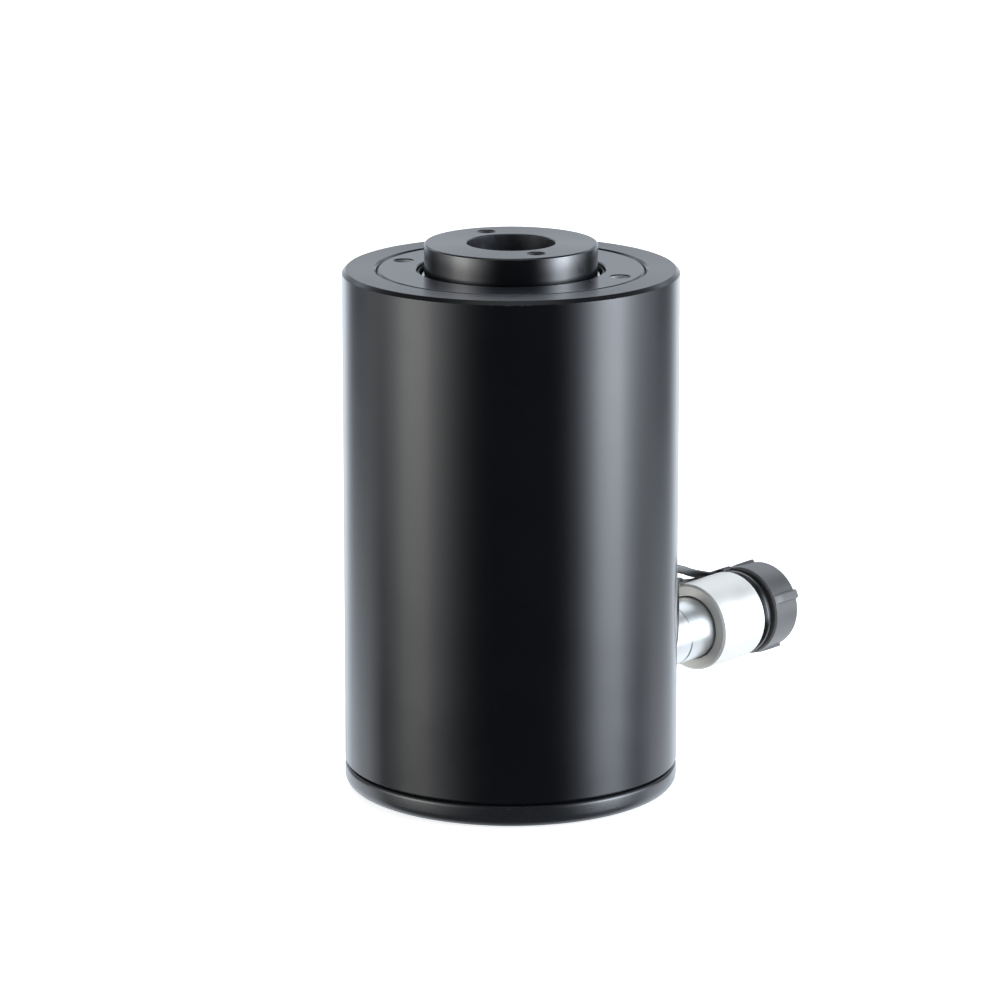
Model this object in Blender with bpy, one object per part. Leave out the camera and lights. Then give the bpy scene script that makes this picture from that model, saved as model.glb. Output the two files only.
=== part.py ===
"""Hollow plunger cylinder: single acting, spring return, through-hole body with a
quick coupler and dust cap at the port.

Frame: metres, +Z up. The origin is the middle of the overall footprint on the
bearing face. The cylinder axis is vertical at x = AXIS_X, y = 0, and the coupler
points along +X.
"""

from math import cos, pi, radians, sin, tau

import bmesh
import bpy
from mathutils import Matrix, Vector

MM = 0.001
GAP = 0.3                    # running gap between neighbouring pieces, mm

# ---- main sizes, mm -------------------------------------------------------
BODY_R = 65.0                # outside radius of body and base plate
BODY_TOP = 205.0
SADDLE_TOP = 215.0
BORE_R = 45.0                # cylinder bore
FLOOR_TOP = 27.0             # inside floor of the body
BASE_T = 8.8                 # base plate thickness
TUBE_ID_R = 17.0             # through hole radius
TUBE_OD_R = 22.0
STEM_R = 35.0                # plunger stem
PISTON_R = 44.7
SEAT_R = 52.0                # stop ring seat in the body
SEAT_Z = 178.0
STROKE = 50.0
PISTON_BOTTOM = FLOOR_TOP + 0.6
PISTON_TOP = 66.0
PLUNGER_TOP = 202.5

COUPLER_Z = 38.0             # height of the port
CAP_TIP = 164.5              # cylinder axis to the end of the dust cap
AXIS_X = -(CAP_TIP - BODY_R) / 2.0

SEG_BIG = 48
SEG_MID = 32
SEG_SMALL = 24


# ---- scene ----------------------------------------------------------------
def clear_scene():
    for ob in list(bpy.data.objects):
        bpy.data.objects.remove(ob, do_unlink=True)


def material(name, colour, roughness, metallic):
    mat = bpy.data.materials.new(name)
    mat.use_nodes = True
    bsdf = mat.node_tree.nodes["Principled BSDF"]
    bsdf.inputs["Base Color"].default_value = (*colour, 1.0)
    bsdf.inputs["Roughness"].default_value = roughness
    bsdf.inputs["Metallic"].default_value = metallic
    mat.diffuse_color = (*colour, 1.0)
    return mat


def empty(name, location, rotation=(0.0, 0.0, 0.0)):
    ob = bpy.data.objects.new(name, None)
    ob.location = location
    ob.rotation_euler = rotation
    bpy.context.scene.collection.objects.link(ob)
    return ob


def finish_mesh(bm, name, colour, parent=None, location=(0, 0, 0), smooth=True,
                sharp=32.0):
    """Turn a bmesh in millimetres into a closed, outward-facing object."""
    bmesh.ops.remove_doubles(bm, verts=bm.verts[:], dist=1e-5)
    bmesh.ops.recalc_face_normals(bm, faces=bm.faces[:])
    if bm.calc_volume(signed=True) < 0:
        bmesh.ops.reverse_faces(bm, faces=bm.faces[:])
    bmesh.ops.scale(bm, vec=(MM, MM, MM), verts=bm.verts[:])
    me = bpy.data.meshes.new(name)
    bm.to_mesh(me)
    bm.free()
    if smooth:
        me.shade_smooth()
        me.set_sharp_from_angle(angle=radians(sharp))
    ob = bpy.data.objects.new(name, me)
    bpy.context.scene.collection.objects.link(ob)
    if colour is not None:
        me.materials.append(material(name + "_finish", *colour))
    ob.parent = parent
    ob.location = [c * MM for c in location]
    return ob


# ---- shape helpers --------------------------------------------------------
def lathe_bm(profile, segments, closed=True):
    """Spin an (r, z) profile around Z. A closed profile gives a ring, an open
    one starts and ends on the axis."""
    bm = bmesh.new()
    verts = [bm.verts.new((r, 0.0, z)) for r, z in profile]
    edges = [bm.edges.new((a, b)) for a, b in zip(verts, verts[1:])]
    if closed:
        edges.append(bm.edges.new((verts[-1], verts[0])))
    bmesh.ops.spin(bm, geom=verts + edges, cent=(0, 0, 0), axis=(0, 0, 1),
                   dvec=(0, 0, 0), angle=tau, steps=segments, use_merge=True,
                   use_duplicate=False)
    bmesh.ops.remove_doubles(bm, verts=bm.verts[:], dist=1e-5)
    return bm


def lathe(name, profile, segments, colour, parent, closed=True, z=0.0, sharp=32.0):
    low = [(r, h - z) for r, h in profile]
    return finish_mesh(lathe_bm(low, segments, closed), name, colour, parent,
                       (0, 0, z), sharp=sharp)


def ring_profile(r0, r1, z0, z1, chamfer=0.0):
    c = chamfer
    if not c:
        return [(r0, z0), (r1, z0), (r1, z1), (r0, z1)]
    return [(r0 + c, z0), (r1 - c, z0), (r1, z0 + c), (r1, z1 - c),
            (r1 - c, z1), (r0 + c, z1), (r0, z1 - c), (r0, z0 + c)]


def torus_profile(mean, section, z, sides=6):
    return [(mean + section * cos(tau * k / sides + pi / sides),
             z + section * sin(tau * k / sides + pi / sides)) for k in range(sides)]


def fillet(cx, cz, radius, start, end, steps):
    """Points of an arc in the (r, z) plane, angles in degrees."""
    return [(cx + radius * cos(radians(start + (end - start) * k / steps)),
             cz + radius * sin(radians(start + (end - start) * k / steps)))
            for k in range(steps + 1)]


def add_cylinder(bm, r, z0, z1, centre=(0.0, 0.0), segments=16, turn=0.0):
    """Add one capped cylinder, axis along Z, to a bmesh."""
    made = bmesh.ops.create_cone(bm, cap_ends=True, segments=segments, radius1=r,
                                 radius2=r, depth=z1 - z0)
    move = Matrix.Translation((centre[0], centre[1], (z0 + z1) / 2.0))
    bmesh.ops.transform(bm, matrix=move @ Matrix.Rotation(turn, 4, "Z"),
                        verts=made["verts"])
    return made["verts"]


def cut(ob, cutter, operation="DIFFERENCE"):
    cutter.hide_render = True
    cutter.display_type = "WIRE"
    mod = ob.modifiers.new(cutter.name, "BOOLEAN")
    mod.object = cutter
    mod.operation = operation
    mod.solver = "EXACT"


def holes(name, parent, sizes, segments=16):
    """One cutter holding several separate cylinders: (r, z0, z1, x, y)."""
    bm = bmesh.new()
    for r, z0, z1, x, y in sizes:
        add_cylinder(bm, r, z0, z1, (x, y), segments)
    return finish_mesh(bm, name, None, parent, smooth=False)


def polar(radius, degrees):
    return radius * cos(radians(degrees)), radius * sin(radians(degrees))


def helix_points(mean, z0, z1, turns, end_pitch, per_turn):
    """Centre line of a compression spring whose first and last turn lie close."""
    count = int(turns * per_turn)
    body = (z1 - z0 - 2 * end_pitch) / (turns - 2)
    points = []
    for k in range(count + 1):
        t = k / per_turn
        if t <= 1:
            z = z0 + end_pitch * t
        elif t <= turns - 1:
            z = z0 + end_pitch + body * (t - 1)
        else:
            z = z0 + end_pitch + body * (turns - 2) + end_pitch * (t - turns + 1)
        points.append(Vector((mean * cos(tau * t), mean * sin(tau * t), z)))
    return points


def sweep_bm(points, section, lifts=None, closed=False):
    """Sweep a section of (side, top) offsets along a line. lifts gives the top
    direction at every point; without it the section keeps facing +Z."""
    bm = bmesh.new()
    loops = []
    n = len(points)
    for k, p in enumerate(points):
        if closed:
            ahead = points[(k + 1) % n] - points[k - 1]
        else:
            ahead = points[min(k + 1, n - 1)] - points[max(k - 1, 0)]
        ahead.normalize()
        lift = lifts[k] if lifts else Vector((0, 0, 1))
        side = ahead.cross(lift).normalized()
        top = side.cross(ahead).normalized()
        loops.append([bm.verts.new(p + side * a + top * b) for a, b in section])
    pairs = list(zip(loops, loops[1:]))
    if closed:
        pairs.append((loops[-1], loops[0]))
    m = len(section)
    for low, high in pairs:
        for j in range(m):
            bm.faces.new((low[j], low[(j + 1) % m], high[(j + 1) % m], high[j]))
    if not closed:
        bm.faces.new(list(reversed(loops[0])))
        bm.faces.new(loops[-1])
    return bm


def round_section(radius, sides, start=0.0):
    return [(radius * cos(tau * k / sides + start), radius * sin(tau * k / sides + start))
            for k in range(sides)]


def catmull(points, per_span, closed=False):
    """Catmull-Rom curve through the points."""
    out = []
    n = len(points)
    spans = n if closed else n - 1
    for k in range(spans):
        if closed:
            p0, p1, p2, p3 = (points[(k + j - 1) % n] for j in range(4))
        else:
            p1, p2 = points[k], points[k + 1]
            p0 = points[k - 1] if k else p1 * 2 - p2
            p3 = points[k + 2] if k + 2 < n else p2 * 2 - p1
        for j in range(per_span):
            t = j / per_span
            out.append(0.5 * ((p1 * 2) + (p2 - p0) * t
                              + (p0 * 2 - p1 * 5 + p2 * 4 - p3) * t * t
                              + (p1 * 3 - p0 - p2 * 3 + p3) * t * t * t))
    if not closed:
        out.append(points[-1].copy())
    return out


# ---- finishes: colour, roughness, metallic ---------------------------------
BLACK_ANODISED = ((0.017, 0.018, 0.021), 0.34, 0.75)
BLACK_STEEL = ((0.020, 0.020, 0.022), 0.38, 0.85)
GROUND_STEEL = ((0.52, 0.53, 0.55), 0.22, 1.0)
HARD_CHROME = ((0.66, 0.67, 0.69), 0.10, 1.0)
ZINC = ((0.70, 0.71, 0.72), 0.28, 1.0)
NICKEL = ((0.74, 0.73, 0.70), 0.20, 1.0)
BRONZE = ((0.48, 0.31, 0.13), 0.40, 1.0)
SPRING_STEEL = ((0.10, 0.10, 0.11), 0.42, 1.0)
SCREW_BLACK = ((0.035, 0.035, 0.038), 0.40, 0.9)
RED_URETHANE = ((0.34, 0.035, 0.020), 0.45, 0.0)
GREEN_URETHANE = ((0.045, 0.16, 0.085), 0.45, 0.0)
WHITE_PTFE = ((0.78, 0.77, 0.73), 0.50, 0.0)
BLACK_NITRILE = ((0.018, 0.018, 0.018), 0.55, 0.0)
BLACK_RUBBER = ((0.014, 0.014, 0.015), 0.50, 0.0)
GREY_PLASTIC = ((0.085, 0.085, 0.095), 0.48, 0.0)

# ---- hole layout -----------------------------------------------------------
SCREW_R = 48.0
SCREW_ANGLES = [45.0 + 90.0 * k for k in range(4)]
SADDLE_PIN_R = 24.3
SADDLE_PIN_ANGLES = [63.2, 243.2]
RING_PIN_R = 44.5
RING_PIN_ANGLES = [109.2, 289.2]


# ---- body and base ---------------------------------------------------------
def make_base_plate(axis):
    r = BODY_R
    profile = [(TUBE_ID_R + 0.6, 0.0)]
    profile += fillet(r - 4.5, 4.5, 4.5, -90, 0, 3)
    profile += [(r, BASE_T - 1.2), (r - 1.2, BASE_T)]
    profile += [(TUBE_ID_R, BASE_T), (TUBE_ID_R, 0.6)]
    plate = lathe("base_plate", profile, SEG_BIG, BLACK_STEEL, axis)
    through = [(3.4, -1.0, BASE_T + 1.0, *polar(SCREW_R, a)) for a in SCREW_ANGLES]
    recess = [(5.8, -1.0, 4.6, *polar(SCREW_R, a)) for a in SCREW_ANGLES]
    cut(plate, holes("base_plate_through_cutter", axis, through))
    cut(plate, holes("base_plate_recess_cutter", axis, recess))
    return plate


def make_base_screws(axis):
    for k, a in enumerate(SCREW_ANGLES):
        x, y = polar(SCREW_R, a)
        profile = [(0.0, 0.6), (4.6, 0.6), (5.0, 1.0), (5.0, 4.3), (3.0, 4.3),
                   (3.0, 19.4), (2.5, 20.0), (0.0, 20.0)]
        low = [(r, z - 4.3) for r, z in profile]
        screw = finish_mesh(lathe_bm(low, 12, closed=False), f"base_screw_{k + 1}",
                            SCREW_BLACK, axis, (x, y, 4.3))
        bm = bmesh.new()
        add_cylinder(bm, 2.5 / cos(pi / 6), -1.0 - 4.3, 2.9 - 4.3, segments=6)
        key = finish_mesh(bm, f"base_screw_socket_cutter_{k + 1}", None, axis,
                          (x, y, 4.3), smooth=False)
        cut(screw, key)


def make_body(axis, port):
    r = BODY_R
    z0 = BASE_T + GAP
    profile = [
        (TUBE_OD_R + 4.3, z0), (r - 1.2, z0), (r, z0 + 1.2), (r, BODY_TOP - 1.5),
        (r - 1.5, BODY_TOP), (SEAT_R + 0.9, BODY_TOP), (SEAT_R, BODY_TOP - 0.9),
        (SEAT_R, SEAT_Z), (BORE_R, SEAT_Z), (BORE_R, FLOOR_TOP),
        (TUBE_OD_R + 0.3, FLOOR_TOP), (TUBE_OD_R + 0.3, 14.3),
        (TUBE_OD_R + 4.3, 14.3),
    ]
    body = lathe("cylinder_body", profile, SEG_BIG, BLACK_ANODISED, axis)
    blind = [(3.3, z0 - 1.0, 21.0, *polar(SCREW_R, a)) for a in SCREW_ANGLES]
    cut(body, holes("body_screw_hole_cutter", axis, blind))
    stepped = [(0.0, 40.0), (3.0, 40.0), (3.0, 50.5), (9.0, 50.5), (9.0, 63.6),
               (15.0, 63.6), (15.0, 70.0), (0.0, 70.0)]
    cutter = finish_mesh(lathe_bm(stepped, 24, closed=False), "body_port_cutter",
                         None, port, smooth=False)
    cut(body, cutter)
    return body


def make_centre_tube(axis):
    z0 = BASE_T + GAP
    profile = [
        (TUBE_ID_R, z0), (26.0, z0), (26.0, 14.0), (TUBE_OD_R, 14.0),
        (TUBE_OD_R, 18.5), (20.2, 18.5), (20.2, 22.0), (TUBE_OD_R, 22.0),
        (TUBE_OD_R, 191.2), (TUBE_OD_R - 1.0, 192.2), (TUBE_ID_R + 0.6, 192.2),
        (TUBE_ID_R, 191.6),
    ]
    lathe("centre_tube", profile, SEG_MID, HARD_CHROME, axis)
    lathe("centre_tube_oring", torus_profile(21.25, 0.72, 20.25, 5), SEG_SMALL,
          BLACK_NITRILE, axis)


def make_stop_ring(axis):
    top = BODY_TOP - 0.2
    profile = [
        (STEM_R + 0.5, SEAT_Z + GAP), (SEAT_R - 0.3, SEAT_Z + GAP),
        (SEAT_R - 0.3, top - 0.9), (SEAT_R - 1.2, top), (36.8, top), (36.4, top - 0.4),
        (36.4, 202.6), (39.2, 202.6), (39.2, 198.4), (STEM_R + 0.5, 198.4),
        (STEM_R + 0.5, 193.0), (37.4, 193.0), (37.4, 183.0), (STEM_R + 0.5, 183.0),
    ]
    ring = lathe("stop_ring", profile, SEG_MID, BLACK_STEEL, axis, z=SEAT_Z)
    pins = [(3.75, top - 6.0, top + 1.0, *polar(RING_PIN_R, a)) for a in RING_PIN_ANGLES]
    cut(ring, holes("stop_ring_pin_cutter", axis, pins, 20))
    lathe("stop_ring_bearing", ring_profile(STEM_R + 0.3, 37.1, 183.3, 192.7),
          SEG_MID, BRONZE, axis)
    wiper = [(STEM_R + 0.3, 198.7), (38.9, 198.7), (38.9, 202.3), (36.3, 202.3),
             (36.0, 203.6), (STEM_R + 0.3, 203.9), (STEM_R + 0.8, 201.0)]
    lathe("rod_wiper", wiper, SEG_MID, BLACK_RUBBER, axis)
    lathe("stop_sleeve",
          ring_profile(43.1, PISTON_R, PISTON_TOP + STROKE + GAP, SEAT_Z), SEG_MID,
          GROUND_STEEL, axis)


def make_plunger(motion):
    bottom = PISTON_BOTTOM
    inner = TUBE_OD_R + 0.3
    profile = [
        (inner + 0.8, bottom), (40.5, bottom), (41.0, bottom + 0.5), (41.0, 42.0),
        (PISTON_R, 42.0), (PISTON_R, 45.0), (39.5, 45.0), (39.5, 55.0),
        (PISTON_R, 55.0), (PISTON_R, 57.5), (42.4, 57.5), (42.4, 63.5),
        (PISTON_R, 63.5), (PISTON_R, PISTON_TOP), (STEM_R, PISTON_TOP),
        (STEM_R, PLUNGER_TOP - 0.8), (STEM_R - 0.8, PLUNGER_TOP), (27.0, PLUNGER_TOP),
        (27.0, 192.5), (inner, 192.5), (inner, 55.0), (26.5, 55.0), (26.5, 45.0),
        (inner, 45.0), (inner, 41.0), (24.3, 41.0), (24.3, 31.0), (inner, 31.0),
        (inner, bottom + 0.8),
    ]
    lathe("plunger", profile, SEG_MID, HARD_CHROME, motion, z=0.0)
    seal = [(40.9, 45.4), (44.3, 45.4), (PISTON_R, 46.2), (PISTON_R, 51.9),
            (39.8, 51.9), (39.8, 46.2)]
    lathe("piston_seal", seal, SEG_MID, RED_URETHANE, motion)
    lathe("piston_backup_ring", ring_profile(39.8, PISTON_R, 52.2, 54.7), SEG_MID,
          WHITE_PTFE, motion)
    lathe("piston_bearing", ring_profile(42.7, PISTON_R, 57.8, 63.2), SEG_MID,
          BRONZE, motion)
    lathe("inner_seal", ring_profile(inner, 26.2, 45.3, 54.7), SEG_MID,
          RED_URETHANE, motion)
    lathe("inner_bearing", ring_profile(inner, 24.0, 31.3, 40.7), SEG_MID,
          BRONZE, motion)


def make_saddle(motion):
    top = SADDLE_TOP
    profile = [
        (TUBE_ID_R + 0.5, 192.8), (26.2, 192.8), (26.7, 193.3), (26.7, 202.8),
        (33.1, 202.8), (33.4, 203.1), (33.4, top - 0.6), (32.8, top),
        (TUBE_ID_R + 0.4, top), (TUBE_ID_R, top - 0.4), (TUBE_ID_R, 193.3),
    ]
    saddle = lathe("saddle", profile, SEG_MID, BLACK_STEEL, motion)
    pins = [(3.4, top - 6.0, top + 1.0, *polar(SADDLE_PIN_R, a))
            for a in SADDLE_PIN_ANGLES]
    cut(saddle, holes("saddle_pin_cutter", motion, pins, 20))


def make_return_spring(axis):
    wire = 3.0
    z0 = PISTON_TOP + GAP + wire
    z1 = SEAT_Z - wire
    points = helix_points(39.3, z0, z1, 7, 2 * wire + 0.6, 12)
    bm = sweep_bm(points, round_section(wire, 5))
    finish_mesh(bm, "return_spring", SPRING_STEEL, axis, sharp=70.0)


# ---- coupler: every size below is measured along the coupler axis from the
#      cylinder axis, and radially from the coupler axis ---------------------
def hex_collar(name, parent, across_flats, t0, t1, bore):
    """A hexagonal collar with a hexagonal hole, to be joined onto a shank."""
    bm = bmesh.new()
    outer = across_flats / 2 / cos(pi / 6)
    rings = []
    for r, z in ((outer, t0), (outer, t1), (bore, t1), (bore, t0)):
        rings.append([bm.verts.new((r * cos(tau * k / 6), r * sin(tau * k / 6), z))
                      for k in range(6)])
    for a, b in zip(rings, rings[1:] + rings[:1]):
        for k in range(6):
            bm.faces.new((a[k], a[(k + 1) % 6], b[(k + 1) % 6], b[k]))
    return finish_mesh(bm, name, None, parent, smooth=False)


def make_adapter(port):
    profile = [
        (3.0, 51.0), (8.0, 51.0), (8.7, 52.0), (8.7, 63.9), (12.2, 63.9),
        (12.2, 71.6), (8.0, 71.6), (8.0, 84.0), (7.4, 84.6), (3.0, 84.6),
    ]
    adapter = lathe("port_adapter", profile, 24, ZINC, port)
    nut = hex_collar("adapter_hex_joiner", port, 24.0, 64.2, 71.2, 10.0)
    cut(adapter, nut, "UNION")


def make_coupler_body(port):
    profile = [
        (8.3, 72.2), (12.4, 72.2), (12.4, 99.4), (12.7, 100.0), (12.7, 118.8),
        (11.4, 118.8), (11.4, 121.2), (12.7, 121.2), (12.7, 135.4), (12.1, 136.0),
        (9.0, 136.0), (9.0, 126.2), (4.2, 124.4), (4.2, 121.8), (7.0, 119.4),
        (7.0, 92.0), (3.0, 92.0), (3.0, 86.0), (8.3, 86.0),
    ]
    body = lathe("coupler_body", profile, SEG_SMALL, NICKEL, port)
    joiner = hex_collar("coupler_hex_joiner", port, 24.0, 72.6, 79.4, 10.4)
    cut(body, joiner, "UNION")


def make_sleeve(port):
    profile = [
        (13.2, 114.2), (17.0, 114.2), (17.9, 115.1), (17.9, 140.9), (17.2, 141.6),
        (16.2, 141.6), (15.7, 141.1), (15.7, 118.4), (13.2, 118.4),
    ]
    lathe("coupler_sleeve", profile, SEG_MID, ZINC, port)
    lathe("sleeve_retaining_ring", torus_profile(13.3, 0.9, 120.0, 4), SEG_SMALL,
          SPRING_STEEL, port)


def make_poppet(port):
    profile = [
        (0.0, 104.0), (1.8, 104.0), (1.8, 113.6), (6.2, 113.6), (6.2, 116.0),
        (3.8, 116.0), (3.8, 118.9), (3.4, 121.6), (3.4, 125.4), (2.4, 126.8),
        (0.0, 126.8),
    ]
    lathe("coupler_poppet", profile, 16, NICKEL, port, closed=False)
    lathe("poppet_seal", torus_profile(4.95, 0.78, 117.2, 5), 16, BLACK_NITRILE, port)
    points = helix_points(4.9, 93.0, 112.6, 6, 1.7, 10)
    bm = sweep_bm(points, round_section(0.6, 4, pi / 4))
    finish_mesh(bm, "poppet_spring", SPRING_STEEL, port, sharp=100.0)


LUG_ANGLES = [67.0, 157.0, 247.0, 337.0]     # from +Y towards +Z


def coupler_point(t, side, up):
    """World offset (along, side, up) as a point in the coupler's own axes."""
    return Vector((-up, side, t))


def make_cap(port):
    profile = [
        (11.2, 137.0), (14.8, 137.0), (15.3, 137.5), (15.3, 148.6), (17.6, 148.6),
        (18.2, 149.3), (17.75, 163.0),
    ]
    profile += fillet(16.25, 163.0, 1.5, 0, 90, 3)
    profile += [(0.0, CAP_TIP), (0.0, 160.5), (11.2, 160.5)]
    outline = [(0.0, 160.5), (11.2, 160.5)] + profile[:-3] + [(0.0, CAP_TIP)]
    cap = lathe("dust_cap", outline, SEG_MID, GREY_PLASTIC, port, closed=False)
    bm = bmesh.new()
    for a in LUG_ANGLES:
        c, s = cos(radians(a)), sin(radians(a))
        loops = []
        for t, high in ((149.8, 18.4), (153.0, 18.75), (164.1, 18.95)):
            loop = []
            for r, w in ((16.0, -2.0), (high, -1.6), (high, 1.6), (16.0, 2.0)):
                side, up = r * c - w * s, r * s + w * c
                loop.append(bm.verts.new(coupler_point(t, side, up)))
            loops.append(loop)
        for low, high in zip(loops, loops[1:]):
            for j in range(4):
                bm.faces.new((low[j], low[(j + 1) % 4], high[(j + 1) % 4], high[j]))
        bm.faces.new(list(reversed(loops[0])))
        bm.faces.new(loops[-1])
    lugs = finish_mesh(bm, "cap_lug_joiner", None, port, smooth=False)
    cut(cap, lugs, "UNION")


# strap centre line: along, side, up, and the angle its flat side faces, degrees
# from +Y towards +Z
STRAP_PATH = [
    (142.1, 9.1, 16.3, 61), (138.0, 9.4, 16.2, 60), (134.0, 9.6, 16.9, 42),
    (130.0, 9.4, 17.9, 22), (126.0, 9.8, 19.3, 8), (122.0, 10.6, 21.0, 4),
    (116.0, 12.5, 22.6, 4), (110.0, 15.5, 22.0, 10), (104.0, 18.5, 18.5, 14),
    (97.0, 19.5, 11.0, 14), (91.0, 17.5, 2.0, 4), (86.0, 12.0, -8.0, -34),
    (83.0, 0.0, -14.8, -90), (83.0, -11.0, -9.8, -139), (84.5, -14.9, 1.5, -186),
    (88.0, -12.7, 11.5, -223), (94.0, -7.8, 17.7, -246), (101.0, -2.2, 20.6, -264),
    (107.5, 2.6, 21.0, -277), (113.0, 6.2, 19.5, -288), (118.0, 8.8, 17.5, -296),
    (122.0, 11.2, 15.9, -305), (127.0, 13.6, 14.1, -314), (132.0, 14.8, 12.8, -320),
    (137.0, 13.8, 13.5, -316), (142.1, 13.3, 13.7, -314),
]
STRAP_HALF = 1.7
STRAP_THICK = 0.55
TAB_ANGLE = 56.0                              # middle of the tab on the cap ring


def make_strap(port):
    ring = [
        (15.6, 142.4), (16.7, 142.4), (17.35, 143.3), (17.6, 144.6), (17.35, 145.9),
        (16.7, 147.0), (16.2, 148.2), (15.6, 148.2),
    ]
    holder = lathe("strap_cap_ring", ring, SEG_SMALL, BLACK_RUBBER, port)
    bm = bmesh.new()
    arcs = []
    for r, turn in ((16.4, 14.5), (18.6, 14.5), (19.2, 12.5)):
        arcs.append([(r, TAB_ANGLE + turn * k / 3) for k in range(-3, 4)])
    outline = arcs[0] + list(reversed(arcs[1]))[:1] + list(reversed(arcs[2])) + arcs[1][:1]
    loops = []
    for t in (142.6, 148.0):
        loops.append([bm.verts.new(coupler_point(t, r * cos(radians(d)), r * sin(radians(d))))
                      for r, d in outline])
    m = len(outline)
    for j in range(m):
        bm.faces.new((loops[0][j], loops[0][(j + 1) % m],
                      loops[1][(j + 1) % m], loops[1][j]))
    bm.faces.new(list(reversed(loops[0])))
    bm.faces.new(loops[1])
    tab = finish_mesh(bm, "cap_ring_tab_joiner", None, port, smooth=False)
    cut(holder, tab, "UNION")

    # flat strap from the tab, round the coupler neck and back to the tab
    path = catmull([coupler_point(t, s, u) for t, s, u, d in STRAP_PATH], 3)
    turns = catmull([Vector((d, 0.0, 0.0)) for t, s, u, d in STRAP_PATH], 3)
    lifts = [Vector((-sin(radians(q.x)), cos(radians(q.x)), 0.0)) for q in turns]
    w, h = STRAP_HALF, STRAP_THICK
    section = [(-w, -h), (w, -h), (w, h), (-w, h)]
    bm = sweep_bm(path, section, lifts)
    finish_mesh(bm, "dust_cap_strap", BLACK_RUBBER, port, sharp=50.0)


def main():
    clear_scene()
    axis = empty("cylinder_axis", (AXIS_X * MM, 0.0, 0.0))
    motion = empty("plunger_motion", (0.0, 0.0, 0.0))
    motion.parent = axis
    port = empty("coupler_axis", (0.0, 0.0, COUPLER_Z * MM), (0.0, pi / 2, 0.0))
    port.parent = axis
    make_base_plate(axis)
    make_base_screws(axis)
    make_body(axis, port)
    make_centre_tube(axis)
    make_stop_ring(axis)
    make_plunger(motion)
    make_return_spring(axis)
    make_saddle(motion)
    make_adapter(port)
    make_coupler_body(port)
    make_sleeve(port)
    make_poppet(port)
    make_cap(port)
    make_strap(port)


main()
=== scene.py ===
"""Hollow plunger cylinder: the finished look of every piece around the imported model.

Lengths in the profiles are millimetres and are scaled to metres once, when a
mesh is made. The cylinder axis is vertical at x = AXIS_X; the coupler axis runs
along +X at height COUPLER_Z.
"""
from math import acos, atan2, ceil, cos, degrees, floor, hypot, pi, radians, sin, sqrt, tan, tau

import bmesh
import bpy
import numpy as np
from mathutils import Matrix, Vector


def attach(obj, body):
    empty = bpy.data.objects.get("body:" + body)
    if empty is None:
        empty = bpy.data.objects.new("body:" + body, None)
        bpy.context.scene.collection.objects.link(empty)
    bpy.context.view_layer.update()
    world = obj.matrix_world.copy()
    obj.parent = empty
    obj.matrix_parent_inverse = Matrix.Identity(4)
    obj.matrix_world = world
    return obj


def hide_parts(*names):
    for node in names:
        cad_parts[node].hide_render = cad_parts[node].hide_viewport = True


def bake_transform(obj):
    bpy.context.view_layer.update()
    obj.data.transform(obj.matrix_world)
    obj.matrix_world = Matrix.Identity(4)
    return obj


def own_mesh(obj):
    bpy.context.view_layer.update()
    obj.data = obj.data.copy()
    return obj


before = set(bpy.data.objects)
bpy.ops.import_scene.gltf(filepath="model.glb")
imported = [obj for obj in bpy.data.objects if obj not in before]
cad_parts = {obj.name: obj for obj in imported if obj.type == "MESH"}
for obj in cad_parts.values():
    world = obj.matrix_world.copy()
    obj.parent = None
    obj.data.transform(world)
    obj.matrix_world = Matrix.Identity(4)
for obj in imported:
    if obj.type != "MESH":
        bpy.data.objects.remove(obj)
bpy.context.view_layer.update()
scene = bpy.context.scene

MM = 0.001
BODY_R = 65.0
CAP_TIP = 164.5
COUPLER_Z = 38.0
AXIS_X = -(CAP_TIP - BODY_R) / 2.0
AX = AXIS_X * MM
ZC = COUPLER_Z * MM
BIG, MID, SMALL = 256, 160, 96


# ============================================================================
# meshes
# ============================================================================
def rounded(points, closed=True, step=18.0):
    """(r, z) or (r, z, radius) corners to a profile with true arcs. A supporting
    point on each side of an arc keeps the neighbouring faces evenly shaded."""
    n = len(points)
    out = []
    for k, p in enumerate(points):
        rad = p[2] if len(p) > 2 else 0.0
        if not rad or (not closed and k in (0, n - 1)):
            out.append((p[0], p[1]))
            continue
        a, b = points[k - 1], points[(k + 1) % n]
        ua = Vector((a[0] - p[0], a[1] - p[1]))
        ub = Vector((b[0] - p[0], b[1] - p[1]))
        la, lb = ua.length, ub.length
        ua.normalize()
        ub.normalize()
        angle = acos(max(-1.0, min(1.0, ua.dot(ub))))
        if angle > radians(178):
            out.append((p[0], p[1]))
            continue
        d = min(rad / tan(angle / 2), 0.48 * la, 0.48 * lb)
        rad = d * tan(angle / 2)
        here = Vector((p[0], p[1]))
        mid = here + (ua + ub).normalized() * (rad / sin(angle / 2))
        start, end = here + ua * d, here + ub * d
        room = min(0.2, rad * 0.6)
        if la * 0.5 > d + room:
            out.append(tuple(here + ua * (d + room)))
        steps = max(2, ceil(degrees(pi - angle) / step))
        a0 = atan2(start.y - mid.y, start.x - mid.x)
        a1 = atan2(end.y - mid.y, end.x - mid.x)
        turn = (a1 - a0 + pi) % tau - pi
        for j in range(steps + 1):
            t = a0 + turn * j / steps
            out.append((mid.x + rad * cos(t), mid.y + rad * sin(t)))
        if lb * 0.5 > d + room:
            out.append(tuple(here + ub * (d + room)))
    clean = [out[0]]
    for q in out[1:]:
        if hypot(q[0] - clean[-1][0], q[1] - clean[-1][1]) > 1e-4:
            clean.append(q)
    return clean


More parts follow.
